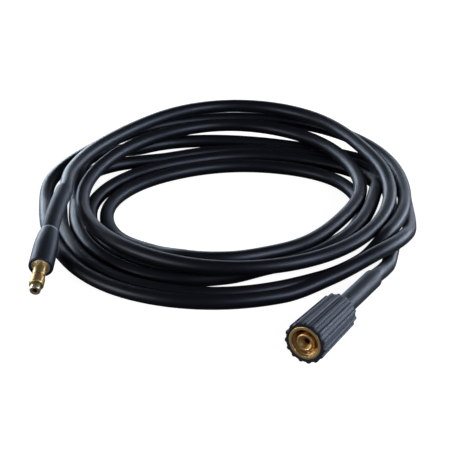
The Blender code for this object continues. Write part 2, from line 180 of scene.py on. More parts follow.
def grainGroup():
    # fine moulded grain, slow patches and sparse scuffs
    finerScuffs = 4.0
    scuffRange = (0.58, 0.72)
    group, given, result = newGroup(
        "surfaceGrain",
        [("Vector", "NodeSocketVector", (0, 0, 0)), ("Grain", "NodeSocketFloat", 2500.0),
         ("Patch", "NodeSocketFloat", 30.0)],
        [("Height", "NodeSocketFloat"), ("Patches", "NodeSocketFloat"),
         ("Scuffs", "NodeSocketFloat")])
    fine = addNode(group, "ShaderNodeTexNoise", {"Detail": 3.0, "Roughness": 0.6})
    slow = addNode(group, "ShaderNodeTexNoise", {"Detail": 4.0, "Roughness": 0.55})
    rubbed = addNode(group, "ShaderNodeTexNoise", {"Detail": 6.0, "Roughness": 0.75})
    for node, scale in ((fine, "Grain"), (slow, "Patch")):
        group.links.new(given.outputs["Vector"], node.inputs["Vector"])
        group.links.new(given.outputs[scale], node.inputs["Scale"])
    group.links.new(given.outputs["Vector"], rubbed.inputs["Vector"])
    scuffScale = combine(group, "MULTIPLY", given.outputs["Patch"], finerScuffs)
    group.links.new(scuffScale, rubbed.inputs["Scale"])
    group.links.new(fine.outputs["Fac"], result.inputs["Height"])
    group.links.new(slow.outputs["Fac"], result.inputs["Patches"])
    scuffs = spread(group, rubbed.outputs["Fac"], 0.0, 1.0, *scuffRange)
    group.links.new(scuffs, result.inputs["Scuffs"])
    return group


def turningGroup():
    # fine lathe lines round the local Z axis, and their slow change of tone
    lineSlant = 0.8
    toneScale = 260.0
    group, given, result = newGroup(
        "turningLines",
        [("Vector", "NodeSocketVector", (0, 0, 0)), ("Lines", "NodeSocketFloat", 3000.0)],
        [("Height", "NodeSocketFloat"), ("Tone", "NodeSocketFloat"), ("Back", "NodeSocketFloat"),
         ("Radius", "NodeSocketFloat")])
    parts = addNode(group, "ShaderNodeSeparateXYZ")
    group.links.new(given.outputs["Vector"], parts.inputs[0])
    squares = [combine(group, "MULTIPLY", parts.outputs[i], parts.outputs[i]) for i in (0, 1)]
    radius = combine(group, "SQRT", combine(group, "ADD", squares[0], squares[1]), 0.0)
    slant = combine(group, "MULTIPLY", radius, lineSlant)
    along = combine(group, "ADD", parts.outputs[2], slant)
    lines = addNode(group, "ShaderNodeTexNoise", {"Detail": 2.0}, noise_dimensions="1D")
    tone = addNode(group, "ShaderNodeTexNoise", {"Scale": toneScale, "Detail": 2.0},
                   noise_dimensions="1D")
    group.links.new(along, lines.inputs["W"])
    group.links.new(along, tone.inputs["W"])
    group.links.new(given.outputs["Lines"], lines.inputs["Scale"])
    group.links.new(lines.outputs["Fac"], result.inputs["Height"])
    group.links.new(tone.outputs["Fac"], result.inputs["Tone"])
    group.links.new(parts.outputs[2], result.inputs["Back"])
    group.links.new(radius, result.inputs["Radius"])
    return group


surfaceGrain = grainGroup()
turningLines = turningGroup()


def placeGroup(tree, group, vector, **values):
    node = addNode(tree, "ShaderNodeGroup", node_tree=group)
    for key, value in values.items():
        node.inputs[key].default_value = value
    tree.links.new(vector, node.inputs["Vector"])
    return node


def objectPlace(tree):
    return addNode(tree, "ShaderNodeTexCoord").outputs["Object"]


def axisPlace(tree, fitting):
    # object coordinates measured from a fitting's mouth, with Z back along its axis
    turn = fitting.inverted()
    mapping = addNode(tree, "ShaderNodeMapping",
                      {"Location": turn.translation, "Rotation": turn.to_euler()})
    tree.links.new(objectPlace(tree), mapping.inputs["Vector"])
    return mapping.outputs["Vector"]


def showFloor():
    bm = bmesh.new()
    bmesh.ops.create_grid(bm, x_segments=1, y_segments=1, size=studio["floorSize"])
    mesh = bpy.data.meshes.new("studioFloor")
    bm.to_mesh(mesh)
    bm.free()
    material = bpy.data.materials.new("paleFloor")
    material.use_nodes = True
    tree = material.node_tree
    shader = tree.nodes["Principled BSDF"]
    shader.inputs["Roughness"].default_value = studio["floorRoughness"]
    shader.inputs["Emission Color"].default_value = (1, 1, 1, 1)
    seen = addNode(tree, "ShaderNodeLightPath").outputs["Is Camera Ray"]
    colour = mixColours(tree, seen, studio["floorBounce"], studio["floorColour"])
    glow = combine(tree, "MULTIPLY", seen, studio["floorGlow"])
    tree.links.new(colour, shader.inputs["Base Color"])
    tree.links.new(glow, shader.inputs["Emission Strength"])
    mesh.materials.append(material)
    item = bpy.data.objects.new("studioFloor", mesh)
    bpy.context.scene.collection.objects.link(item)


def lightSky():
    world = bpy.data.worlds.new("studioSky")
    bpy.context.scene.world = world
    world.use_nodes = True
    tree = world.node_tree
    # a wide low backdrop behind the coil, and a dim sky elsewhere
    way = addNode(tree, "ShaderNodeTexCoord").outputs["Generated"]
    parts = addNode(tree, "ShaderNodeSeparateXYZ")
    facing = addNode(tree, "ShaderNodeVectorMath", {1: studio["backdropWay"]},
                     operation="DOT_PRODUCT")
    tree.links.new(way, parts.inputs[0])
    tree.links.new(way, facing.inputs[0])
    wide = spread(tree, facing.outputs["Value"], 0.0, 1.0, *studio["backdropWidth"])
    low = spread(tree, parts.outputs[2], 1.0, 0.0, *studio["backdropTop"])
    sky = tree.nodes["Background"]
    sky.inputs["Strength"].default_value = studio["skyStrength"]
    lit = combine(tree, "MULTIPLY", wide, low)
    colour = mixColours(tree, lit, studio["skyColour"], studio["backdropColour"])
    tree.links.new(colour, sky.inputs["Color"])


bpy.context.scene.view_settings.view_transform = "Standard"
addCamera()
addSoftboxes()
showFloor()
lightSky()
print("camera, floor and light set")


# The two fittings' axes.

nutPlace = {"x": 0.169, "y": -0.185, "ribDiameter": 0.0350, "ribCount": 15}
plugPlace = {"x": -0.0715, "y": -0.2005, "z": 0.0044861, "heading": 115.6, "slope": 13.5}


def fittingMatrix(mouth, back):
    # local Z runs back along the fitting, local Y is its upper side
    side = Vector((0, 0, 1)).cross(back).normalized()
    up = back.cross(side)
    return Matrix.Translation(mouth) @ Matrix((side, up, back)).transposed().to_4x4()


def nutMatrix():
    height = nutPlace["ribDiameter"] / 2 * math.cos(math.pi / nutPlace["ribCount"])
    return fittingMatrix(Vector((nutPlace["x"], nutPlace["y"], height)), Vector((0, 1, 0)))


def plugMatrix():
    heading, slope = math.radians(plugPlace["heading"]), math.radians(plugPlace["slope"])
    level = math.cos(slope)
    back = Vector((level * math.cos(heading), level * math.sin(heading), math.sin(slope)))
    return fittingMatrix(Vector((plugPlace["x"], plugPlace["y"], plugPlace["z"])), back)


nutAxis = nutMatrix()
plugAxis = plugMatrix()


def finishPiece(name, bm, material, body, node, fitting=None, sharp=35):
    # put a bmesh in place and hand it to the frame
    if fitting is not None:
        bmesh.ops.transform(bm, matrix=fitting, verts=bm.verts)
    bmesh.ops.recalc_face_normals(bm, faces=bm.faces)
    mesh = bpy.data.meshes.new(name)
    bm.to_mesh(mesh)
    bm.free()
    mesh.materials.append(material)
    mesh.shade_smooth()
    mesh.set_sharp_from_angle(angle=math.radians(sharp))
    item = bpy.data.objects.new(name, mesh)
    bpy.context.scene.collection.objects.link(item)
    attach(item, body)
    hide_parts(node)
    return item


def turnedSolid(corners, steps):
    # corners of the section: radius, distance back, rounding
    bm = bmesh.new()
    verts = [bm.verts.new((radius, 0, back)) for radius, back, rounding in corners]
    for near, far in zip(verts, verts[1:] + verts[:1]):
        bm.edges.new((near, far))
    for size in sorted({rounding for radius, back, rounding in corners if rounding}):
        chosen = [vert for vert, corner in zip(verts, corners) if corner[2] == size]
        bmesh.ops.bevel(bm, geom=chosen, offset=size, offset_type="OFFSET", segments=5,
                        profile=0.5, affect="VERTICES", material=-1)
    bmesh.ops.spin(bm, geom=bm.verts[:] + bm.edges[:], cent=(0, 0, 0), axis=(0, 0, 1),
                   dvec=(0, 0, 0), angle=math.tau, steps=steps, use_merge=True,
                   use_duplicate=False)
    return bm


# Hose.

hose = {
    "diameter": 0.0125,
    "bore": 0.0064,
    "boreDepth": 0.0225,
    "sides": 28,
    "stepsBetweenPoints": 12,
    "stepsInPlug": 24,
    "stepsInNut": 12,
    "seamReach": 0.00001,
    # distances back from the nut's mouth and the plug's tip
    "nutEnd": 0.0290,
    "plugEnd": 0.0493,
    "sleeveRear": 0.1215,
    "bootFront": 0.0756,
    "bootLength": 0.0670,
    "bootBend": math.radians(11.5),
    "bootRoll": math.radians(24),
    "coilMiddle": (-0.015, 0.0155),
}

# The route's points: clock hour seen from above, distance from the coil's middle, height.
turns = [
    # top strand, out of the plug and over all the others
    [(8.1, 0.1426, 0.0325), (8.5, 0.1415, 0.0326), (9, 0.1420, 0.0325), (9.5, 0.1460, 0.0323),
     (10, 0.1560, 0.0323), (10.5, 0.1705, 0.0322), (11, 0.1800, 0.0321), (11.5, 0.1800, 0.0321),
     (12, 0.1720, 0.0320), (0.5, 0.1600, 0.0310), (1, 0.1510, 0.0295), (1.5, 0.1485, 0.0275),
     (2, 0.1475, 0.0245), (3, 0.1480, 0.0215), (4, 0.1515, 0.0212), (5, 0.1485, 0.0204),
     (6, 0.1400, 0.0200), (7, 0.1335, 0.0200)],
    # second layer, ending innermost on the floor
    [(8, 0.1290, 0.0198), (9, 0.1320, 0.0198), (10, 0.1460, 0.0198), (11, 0.1605, 0.0198),
     (12, 0.1515, 0.0198), (1, 0.1330, 0.0196), (2, 0.1210, 0.0192), (3, 0.1140, 0.0192),
     (4, 0.1220, 0.0193), (4.5, 0.1260, 0.0198), (5, 0.1320, 0.0205), (5.5, 0.1290, 0.0183),
     (6, 0.1205, 0.0125), (7, 0.1135, 0.00625)],
    # innermost strand, on the floor
    [(8, 0.1055, 0.00625), (9, 0.0940, 0.00625), (10, 0.0870, 0.00625), (11, 0.0895, 0.00625),
     (12, 0.1000, 0.00625), (1, 0.1170, 0.00625), (2, 0.1220, 0.00625), (3, 0.1210, 0.00625),
     (4, 0.1180, 0.00625), (4.5, 0.1205, 0.00625), (5, 0.1260, 0.00625), (5.5, 0.1335, 0.00625),
     (6, 0.1355, 0.00625), (7, 0.1280, 0.00625), (7.5, 0.1244, 0.00625)],
    # next one out, rising between two upper strands at the right
    [(8, 0.1215, 0.00625), (9, 0.1130, 0.00625), (10, 0.1070, 0.00625), (10.5, 0.1070, 0.00625),
     (11, 0.1113, 0.00625), (12, 0.1253, 0.00625), (0.5, 0.1343, 0.00625), (1, 0.1440, 0.0068),
     (1.5, 0.1428, 0.0126), (2, 0.1343, 0.0190), (3, 0.1320, 0.0188), (4, 0.1380, 0.0160),
     (4.5, 0.1383, 0.0135), (5, 0.1400, 0.0075), (5.5, 0.1470, 0.00625), (6, 0.1493, 0.00625),
     (7, 0.1414, 0.00625), (7.5, 0.1376, 0.00625)],
    # crosses outwards at the left, ends outermost at the front and under the plug
    [(8, 0.1363, 0.00625), (8.5, 0.1418, 0.0150), (8.75, 0.1465, 0.0188), (9, 0.1510, 0.0196),
     (9.5, 0.1528, 0.0135), (10, 0.1570, 0.00625), (11, 0.1510, 0.00625), (12, 0.1526, 0.00625),
     (0.5, 0.1620, 0.00625), (1, 0.1715, 0.00625), (2, 0.1635, 0.00625), (2.5, 0.1675, 0.0082),
     (3, 0.1745, 0.0178), (3.4, 0.1750, 0.0204), (4, 0.1730, 0.0125), (4.5, 0.1760, 0.00625),
     (5, 0.1805, 0.00625), (6, 0.1812, 0.00625), (6.5, 0.1751, 0.00625), (7, 0.1675, 0.00625),
     (7.35, 0.1643, 0.00625)],
    # outermost at the left, under the top strand at the back, then along the front
    [(8, 0.1635, 0.0070), (8.5, 0.1685, 0.0120), (9, 0.1652, 0.0165), (9.5, 0.1665, 0.0180),
     (10, 0.1705, 0.0192), (11, 0.1785, 0.0192), (12, 0.1815, 0.0192), (1, 0.1715, 0.0192),
     (2, 0.1610, 0.0192), (2.5, 0.1605, 0.0202), (3, 0.1610, 0.0200), (3.5, 0.1615, 0.0100),
     (4, 0.1600, 0.00625), (4.5, 0.1630, 0.00625), (5, 0.1673, 0.00625), (6, 0.1679, 0.00625),
     (6.5, 0.1619, 0.00625), (7, 0.1546, 0.00625), (7.4, 0.1511, 0.00625)],
    # last strand, on the floor, out under the right side to the nut
    [(8, 0.1503, 0.00625), (8.5, 0.1550, 0.00625), (9, 0.1485, 0.00625), (9.5, 0.1365, 0.00625),
     (10, 0.1220, 0.00625), (10.5, 0.1215, 0.00625), (11, 0.1250, 0.00625), (12, 0.1390, 0.00625),
     (0.5, 0.1484, 0.00625), (1, 0.1578, 0.00625), (1.5, 0.1550, 0.00625), (2, 0.1490, 0.00625),
     (2.5, 0.1520, 0.00625), (2.95, 0.1640, 0.00625), (3.19, 0.1724, 0.0063),
     (3.33, 0.1785, 0.0066), (3.48, 0.1850, 0.0098)],
]


def bootLine(back):
    # the plug's centre line in its own frame, straight and then bent: place, way, sag
    sag = Vector((-math.sin(hose["bootRoll"]), -math.cos(hose["bootRoll"]), 0))
    ahead = Vector((0, 0, 1))
    straight = min(back, hose["bootFront"])
    radius = hose["bootLength"] / hose["bootBend"]
    angle = (back - straight) / radius
    place = ahead * (straight + radius * math.sin(angle)) + sag * radius * (1 - math.cos(angle))
    way = ahead * math.cos(angle) + sag * math.sin(angle)
    return place, way, sag * math.cos(angle) - ahead * math.sin(angle)


def nutLine(back):
    return nutAxis @ Vector((0, 0, back))


def smoothCurve(points, firstWay, lastWay, steps):
    # continuous bend in plan, and heights that never overshoot their points
    spans = np.linalg.norm(np.diff(points, axis=0), axis=1)
    count = len(points)
    system = np.eye(count)
    known = np.zeros((count, 3))
    known[0], known[-1] = firstWay, lastWay
    for i in range(1, count - 1):
        before, after = spans[i - 1], spans[i]
        system[i, i - 1:i + 2] = after, 2 * (before + after), before
        arriving = (points[i] - points[i - 1]) / before
        departing = (points[i + 1] - points[i]) / after
        known[i] = 3 * (after * arriving + before * departing)
    slopes = np.linalg.solve(system, known)
    climbs = np.diff(points[:, 2]) / spans
    for i in range(1, count - 1):
        product = climbs[i - 1] * climbs[i]
        slopes[i, 2] = 2 * product / (climbs[i - 1] + climbs[i]) if product > 0 else 0
    curve = []
    for i in range(count - 1):
        for t in np.arange(steps) / steps:
            start = (2 * t**3 - 3 * t**2 + 1) * points[i]
            startPull = (t**3 - 2 * t**2 + t) * spans[i] * slopes[i]
            end = (3 * t**2 - 2 * t**3) * points[i + 1]
            endPull = (t**3 - t**2) * spans[i] * slopes[i + 1]
            curve.append(start + startPull + end + endPull)
    curve.append(points[-1])
    return curve


def hosePath():
    # from inside the nut, round the coil, to inside the plug
    bootRear = hose["bootFront"] + hose["bootLength"]
    middleX, middleY = hose["coilMiddle"]
    place, way, sag = bootLine(bootRear)
    points = [plugAxis @ place]
    for turn in turns:
        for hour, distance, height in turn:
            angle = math.radians(hour * 30)
            points.append(Vector((middleX + distance * math.sin(angle),
                                  middleY + distance * math.cos(angle), height)))
    points.append(nutLine(hose["sleeveRear"]))
    leaving = plugAxis.to_3x3() @ way
    entering = nutLine(0) - nutLine(1)
    coil = smoothCurve(np.array(points), leaving, entering, hose["stepsBetweenPoints"])
    plugBacks = np.linspace(hose["plugEnd"], bootRear, hose["stepsInPlug"])[:-1]
    nutBacks = np.linspace(hose["sleeveRear"], hose["nutEnd"], hose["stepsInNut"])[1:]
    inPlug = [plugAxis @ bootLine(back)[0] for back in plugBacks]
    inNut = [nutLine(back) for back in nutBacks]
    path = inPlug + [Vector(place) for place in coil] + inNut
    return path[::-1]


def tubeFrames(path):
    # a place and a turn, with local Z along the hose and local Y up, for each ring
    frames = []
    for i, place in enumerate(path):
        way = (path[min(i + 1, len(path) - 1)] - path[max(i - 1, 0)]).normalized()
        frames.append(fittingMatrix(place, way))
    return frames


def makeHose():
    path = hosePath()
    frames = tubeFrames(path)
    along = [0.0]
    for near, far in zip(path, path[1:]):
        along.append(along[-1] + (far - near).length)
    bm = bmesh.new()
    wrap = bm.loops.layers.uv.new("wrap")
    rows, sides = len(path), hose["sides"]
    bmesh.ops.create_grid(bm, x_segments=rows - 1, y_segments=sides, size=0.5)
    for face in bm.faces:
        for loop in face.loops:
            row = round((loop.vert.co.x + 0.5) * (rows - 1))
            loop[wrap].uv = (loop.vert.co.y + 0.5, along[row])
    for vert in bm.verts:
        row = round((vert.co.x + 0.5) * (rows - 1))
        angle = (vert.co.y + 0.5) * math.tau
        ring = Vector((math.sin(angle), -math.cos(angle), 0)) * hose["diameter"] / 2
        vert.co = frames[row] @ ring
    bmesh.ops.remove_doubles(bm, verts=bm.verts, dist=hose["seamReach"])
    boreEnds(bm, frames)
    hoseTube = finishPiece("hoseTube", bm, hoseRubber(), "hose", "hose",
                           sharp=50)
    print("hose:", rows, "rings,", round(along[-1], 3), "m")
    return hoseTube, path, along[-1]


def boreEnds(bm, frames):
    # turn each cut end inwards into the bore that takes a nipple's shank
    for place, inward in ((frames[0], 1), (frames[-1], -1)):
        centre = place.translation
        rim = [edge for edge in bm.edges if edge.is_boundary
               and (edge.verts[0].co - centre).length < hose["diameter"]]
        shrink = hose["bore"] / hose["diameter"]
        for scale, shift in ((shrink, 0), (1, hose["boreDepth"])):
            made = bmesh.ops.extrude_edge_only(bm, edges=rim)["geom"]
            ring = [piece for piece in made if isinstance(piece, bmesh.types.BMVert)]
            inRing = set(ring)
            rim = [piece for piece in made if isinstance(piece, bmesh.types.BMEdge)
                   and piece.verts[0] in inRing and piece.verts[1] in inRing]
            deeper = place.to_3x3() @ Vector((0, 0, shift * inward))
            bmesh.ops.scale(bm, vec=(scale, scale, scale), verts=ring,
                            space=Matrix.Translation(-centre))
            bmesh.ops.translate(bm, vec=deeper, verts=ring)
        bmesh.ops.contextual_create(bm, geom=rim)


rubber = {
    "gleam": (0.68, 0.77, 1.0, 1),
    "specular": 0.46,
    "low": (0.0020, 0.0022, 0.0034, 1),
    "high": (0.0042, 0.0046, 0.0068, 1),
    "dust": (0.018, 0.019, 0.023, 1),
    "dustShare": 0.35,
    "roughness": (0.37, 0.46),
    "lineRoughness": 0.04,
    "grain": 2600.0,
    "patch": 24.0,
    # round the hose the pattern is one girth wide, and it runs in metres along it
    "girth": 0.0393,
    "threadTurn": 0.95,
    "threadScale": 220.0,
    "lineScale": (900, 9, 1),
    "clothHeight": 0.5,
    "grainHeight": 0.6,
    "lineHeight": 0.5,
    "bumpDepth": 0.00012,
    "bumpStrength": 0.7,
}


def hoseRubber():
    # satin black cover with a faint cloth wrap, drawn lines along it and dull patches
    material, tree, shader = newMaterial("hoseRubber", 0.0, gleam=rubber["gleam"])
    shader.inputs["Specular IOR Level"].default_value = rubber["specular"]
    wrap = addNode(tree, "ShaderNodeUVMap", uv_map="wrap")
    unrolled = addNode(tree, "ShaderNodeMapping", {"Scale": (rubber["girth"], 1, 1)})
    tree.links.new(wrap.outputs["UV"], unrolled.inputs["Vector"])
    grain = placeGroup(tree, surfaceGrain, objectPlace(tree), Grain=rubber["grain"],
                       Patch=rubber["patch"])
    weaves = []
    for turn in (rubber["threadTurn"], -rubber["threadTurn"]):
        slanted = addNode(tree, "ShaderNodeMapping", {"Rotation": (0, 0, turn)})
        tree.links.new(unrolled.outputs["Vector"], slanted.inputs["Vector"])
        threads = addNode(tree, "ShaderNodeTexWave",
                          {"Scale": rubber["threadScale"], "Distortion": 0.6, "Detail": 1.0,
                           "Detail Scale": 3.0})
        tree.links.new(slanted.outputs["Vector"], threads.inputs["Vector"])
        weaves.append(threads.outputs["Fac"])
    cloth = combine(tree, "MULTIPLY", weaves[0], weaves[1])
    drawn = addNode(tree, "ShaderNodeMapping", {"Scale": rubber["lineScale"]})
    lines = addNode(tree, "ShaderNodeTexNoise", {"Scale": 1.0, "Detail": 3.0})
    tree.links.new(unrolled.outputs["Vector"], drawn.inputs["Vector"])
    tree.links.new(drawn.outputs["Vector"], lines.inputs["Vector"])
    woven = combine(tree, "MULTIPLY", cloth, rubber["clothHeight"])
    grainy = combine(tree, "MULTIPLY", grain.outputs["Height"], rubber["grainHeight"])
    lined = combine(tree, "MULTIPLY", lines.outputs["Fac"], rubber["lineHeight"])
    height = combine(tree, "ADD", woven, combine(tree, "ADD", grainy, lined))
    addBump(tree, shader, height, rubber["bumpDepth"], rubber["bumpStrength"])
    tone = mixColours(tree, grain.outputs["Patches"], rubber["low"], rubber["high"])
    dull = combine(tree, "MULTIPLY", grain.outputs["Scuffs"], rubber["dustShare"])
    tree.links.new(mixColours(tree, dull, tone, rubber["dust"]), shader.inputs["Base Color"])
    gloss = combine(tree, "ADD", spread(tree, grain.outputs["Patches"], *rubber["roughness"]),
                    spread(tree, lines.outputs["Fac"], -rubber["lineRoughness"],
                           rubber["lineRoughness"]))
    tree.links.new(gloss, shader.inputs["Roughness"])
    return material


hoseTube, hoseWay, hoseLength = makeHose()


# Moulded plastic.

plastic = {
    "gleam": (0.72, 0.83, 1.0, 1),
    "patch": 45.0,
    "bumpDepth": 0.00008,
    "bumpStrength": 0.7,
    "rubbedShare": 0.25,
    "glossiest": 0.05,
    "dullest": 0.07,
    # painted highlight along the seam where the boot meets the grip
    "paintedSeamHighlight": (0.30, 0.33, 0.38, 1),
}

nutSlate = {
    "low": (0.039, 0.044, 0.060, 1),
    "high": (0.053, 0.059, 0.079, 1),
    # the rubbed tone also serves as the painted highlight on the nut's rib crests
    "rubbed": (0.085, 0.094, 0.118, 1),
    "grain": 2600.0,
}

smoothSlate = {
    "low": (0.008, 0.0092, 0.0135, 1),
    "high": (0.013, 0.0150, 0.0215, 1),
    "rubbed": (0.060, 0.066, 0.082, 1),
    "grain": 1500.0,
}


def mouldedPlastic(name, tones, gloss, edge=None, fitting=None):
    # fine moulded grain; the edge is a pale band painted back along the axis, a painted highlight
    # along the plug's seam and a pale ring behind the nut
    material, tree, shader = newMaterial(name, 0.0, gleam=plastic["gleam"])
    grain = placeGroup(tree, surfaceGrain, objectPlace(tree), Grain=tones["grain"],
                       Patch=plastic["patch"])
    addBump(tree, shader, grain.outputs["Height"], plastic["bumpDepth"], plastic["bumpStrength"])
    tone = mixColours(tree, grain.outputs["Patches"], tones["low"], tones["high"])
    rubbed = combine(tree, "MULTIPLY", grain.outputs["Scuffs"], plastic["rubbedShare"])
    skin = mixColours(tree, rubbed, tone, tones["rubbed"])
    if edge is not None:
        place, width, colour = edge
        back = placeGroup(tree, turningLines, axisPlace(tree, fitting)).outputs["Back"]
        away = combine(tree, "ABSOLUTE", combine(tree, "SUBTRACT", back, place), 0.0)
        skin = mixColours(tree, spread(tree, away, 1.0, 0.0, width / 2, width), skin, colour)
    tree.links.new(skin, shader.inputs["Base Color"])
    roughness = spread(tree, grain.outputs["Patches"], gloss - plastic["glossiest"],
                       gloss + plastic["dullest"])
    tree.links.new(roughness, shader.inputs["Roughness"])
    return material, tree, shader


# Hand nut.

nutGrip = {
    "frontDiameter": nutPlace["ribDiameter"],
    "rearDiameter": 0.0316,
    "ribHeight": 0.0011,
    "length": 0.0620,
    "frontEdge": 0.0006,
    "firstRing": 0.004,
    "ribsEnd": 0.0576,
    "coneFront": 0.0582,
    "coneRadius": 0.0095,
    "stepsPerRib": 20,
    "rings": 20,
    # shares of one rib, measured from its crest: the flank's foot and width, and the foot's dark
    # line of painted shade
    "flankFoot": 0.27,
    "flankWidth": 0.15,
    "lineMiddle": 0.28,
    "lineWidth": 0.07,
    # dark line of painted shade at the rib feet
    "footShadeColour": (0.006, 0.0065, 0.009, 1),
    # near-black painted shade on the front edge of the mouth, and the band back from it where it
    # fades
    "mouthShadeColour": (0.006, 0.0062, 0.008, 1),
    "mouthShadeBand": (0.0004, 0.0010),
    "roughness": 0.60,
}

nutInsert = {
    "diameter": 0.0277,
    "length": 0.0210,
    "bore": 0.0206,
    "web": 0.0040,
    "mouthStep": 0.0009,
    "mouthDepth": 0.0012,
    "threadStart": 0.0020,
    "threadPitch": 0.0015,
    "threadDepth": 0.0008,
    "flankSharpness": 0.8,
    "frontFade": 0.0006,
    "rearFade": 0.0010,
    "ringsPerThread": 8,
    "steps": 128,
}

nutNipple = {
    "diameter": 0.0148,
    "mouth": 0.0110,
    "mouthDepth": 0.0032,
    "setback": 0.0006,
    "flange": 0.0030,
    "neck": 0.0120,
    "waterBore": 0.0042,
    "steps": 96,
}

nutSleeve = {
    "diameter": 0.0160,
    "front": 0.0295,
    "rear": hose["sleeveRear"],
    "edge": 0.0018,
    "endRing": 0.01,
    "rings": 12,
    "steps": 64,
    "roughness": 0.48,
    # the pale ring just behind the nut: its distance from it, width and colour
    "ringPlace": 0.0010,
    "ringWidth": 0.0012,
    "ringColour": (0.15, 0.165, 0.20, 1),
}


def ribShape(phase):
    # height and tone across one rib, with the phase 0 on its crest and 0.5 in the hollow; the tone
    # is painted light, paler on the crest as a painted highlight and darker in a line of painted
    # shade at the foot
    away = abs(phase)
    climb = min(1.0, max(0.0, (nutGrip["flankFoot"] - away) / nutGrip["flankWidth"]))
    height = climb * climb * (3 - 2 * climb)
    line = 1.5 - abs(away - nutGrip["lineMiddle"]) / nutGrip["lineWidth"]
    footShade = min(1.0, max(0.0, line))
    tone = max(0.0, 0.5 + 0.5 * height - 0.5 * footShade)
    return height, tone


def ribbedPlastic():
    # painted highlight that makes the crests paler, dark lines of painted shade at their feet, and
    # a near-black band of painted shade on the mouth edge
    material, tree, shader = mouldedPlastic("ribbedPlastic", nutSlate, nutGrip["roughness"])
    crest = addNode(tree, "ShaderNodeAttribute", attribute_name="crest").outputs["Fac"]
    skin = shader.inputs["Base Color"].links[0].from_socket
    # painted shade at the rib feet
    footShade = spread(tree, crest, 0.95, 0.0, 0.05, 0.42)
    # painted highlight on the crests, in the rubbed tone
    top = spread(tree, crest, 0.0, 0.30, 0.75, 1.0)
    lined = mixColours(tree, footShade, skin, nutGrip["footShadeColour"])
    paler = mixColours(tree, top, lined, nutSlate["rubbed"])
    back = placeGroup(tree, turningLines, axisPlace(tree, nutAxis)).outputs["Back"]
    # painted shade on the mouth's front edge
    mouth = spread(tree, back, 0.9, 0.0, *nutGrip["mouthShadeBand"])
    mouthShaded = mixColours(tree, mouth, paler, nutGrip["mouthShadeColour"])
    tree.links.new(mouthShaded, shader.inputs["Base Color"])
    return material


def makeNutGrip():
    root = nutGrip["frontDiameter"] / 2 - nutGrip["ribHeight"]
    rearRoot = nutGrip["rearDiameter"] / 2 - nutGrip["ribHeight"]
    seat = nutInsert["diameter"] / 2 + fitGap
    passage = nutSleeve["diameter"] / 2 + fitGap
    step = nutInsert["length"] + fitGap
    length, edge, ribsEnd = nutGrip["length"], nutGrip["frontEdge"], nutGrip["ribsEnd"]
    wall = [(root - edge * 0.8, 0, 0), (root, edge * 1.6, 0)]
    for back in np.linspace(nutGrip["firstRing"], ribsEnd, nutGrip["rings"]):
        wall.append((float(root + (rearRoot - root) * back / length), float(back), 0))
    wall.append((rearRoot, ribsEnd + 0.0003, 0))
    wall.append((rearRoot - 0.0002, nutGrip["coneFront"], 0.0003))
    wall.append((nutGrip["coneRadius"], length, 0.0005))
    inside = [(passage, length, 0.0004), (passage, step, 0), (seat, step, 0),
              (seat, 0, 0.0003)]
    count = nutPlace["ribCount"]
    bm = turnedSolid(wall + inside, count * nutGrip["stepsPerRib"])
    crest = bm.verts.layers.float.new("crest")
    for vert in bm.verts:
        radius = math.hypot(vert.co.x, vert.co.y)
        if radius < seat + 0.0006 or vert.co.z > ribsEnd + 0.0001:
            vert[crest] = 0.5
            continue
        turn = (math.atan2(vert.co.y, vert.co.x) + math.pi / 2) / math.tau * count + 0.5
        height, tone = ribShape(turn - round(turn))
        # painted light per vertex: a highlight on the crest, shade at the foot
        vert[crest] = tone
        grown = (radius + nutGrip["ribHeight"] * height) / radius
        vert.co.x *= grown
        vert.co.y *= grown
    finishPiece("nutGripShell", bm, ribbedPlastic(), "nut", "nut_grip",
                nutAxis, 40)


turned = {
    "lines": 2600.0,
    "grain": 1800.0,
    "patch": 160.0,
    "grainHeight": 0.4,
    "bumpDepth": 0.00002,
    "bumpStrength": 0.6,
    # how much of the dark tone the painted shade down inside adds
    "shadeShare": 0.8,
    "glossiest": 0.05,
    "dullest": 0.10,
}

# bright is the pair of tones, then the dark tone, used for tarnish and for painted shade down
# inside, and the depths where that painted shade starts and is full
insertFinish = {
    "bright": ((0.97, 0.75, 0.40, 1), (0.90, 0.64, 0.29, 1)),
    "tarnishAndShade": (0.58, 0.27, 0.05, 1),
    "shadeDepths": (0.0010, 0.007),
    "roughness": 0.36,
    "tarnish": 0.2,
}

nippleFinish = {
    "bright": ((0.96, 0.72, 0.35, 1), (0.90, 0.60, 0.25, 1)),
    "tarnishAndShade": (0.55, 0.24, 0.04, 1),
    "shadeDepths": (0.0012, 0.0050),
    "roughness": 0.34,
    "tarnish": 0.25,
}


def turnedMetal(name, fitting, finish):
    # bright machined metal with lathe lines, and painted shade that makes it warmer and darker down
    # inside
    material, tree, shader = newMaterial(name, 1.0)
    axis = placeGroup(tree, turningLines, axisPlace(tree, fitting), Lines=turned["lines"])
    grain = placeGroup(tree, surfaceGrain, objectPlace(tree), Grain=turned["grain"],
                       Patch=turned["patch"])
    grainy = combine(tree, "MULTIPLY", grain.outputs["Height"], turned["grainHeight"])
    height = combine(tree, "ADD", axis.outputs["Height"], grainy)
    addBump(tree, shader, height, turned["bumpDepth"], turned["bumpStrength"])
    bright = mixColours(tree, axis.outputs["Tone"], *finish["bright"])
    tarnished = combine(tree, "MULTIPLY", grain.outputs["Patches"], finish["tarnish"])
    aged = mixColours(tree, tarnished, bright, finish["tarnishAndShade"])
    # painted shade, darker down inside the bore
    recessShade = spread(tree, axis.outputs["Back"], 0.0, turned["shadeShare"], *finish["shadeDepths"])
    tree.links.new(mixColours(tree, recessShade, aged, finish["tarnishAndShade"]), shader.inputs["Base Color"])
    roughness = spread(tree, grain.outputs["Patches"], finish["roughness"] - turned["glossiest"],
                       finish["roughness"] + turned["dullest"])
    tree.links.new(roughness, shader.inputs["Roughness"])
    return material, tree, shader, axis


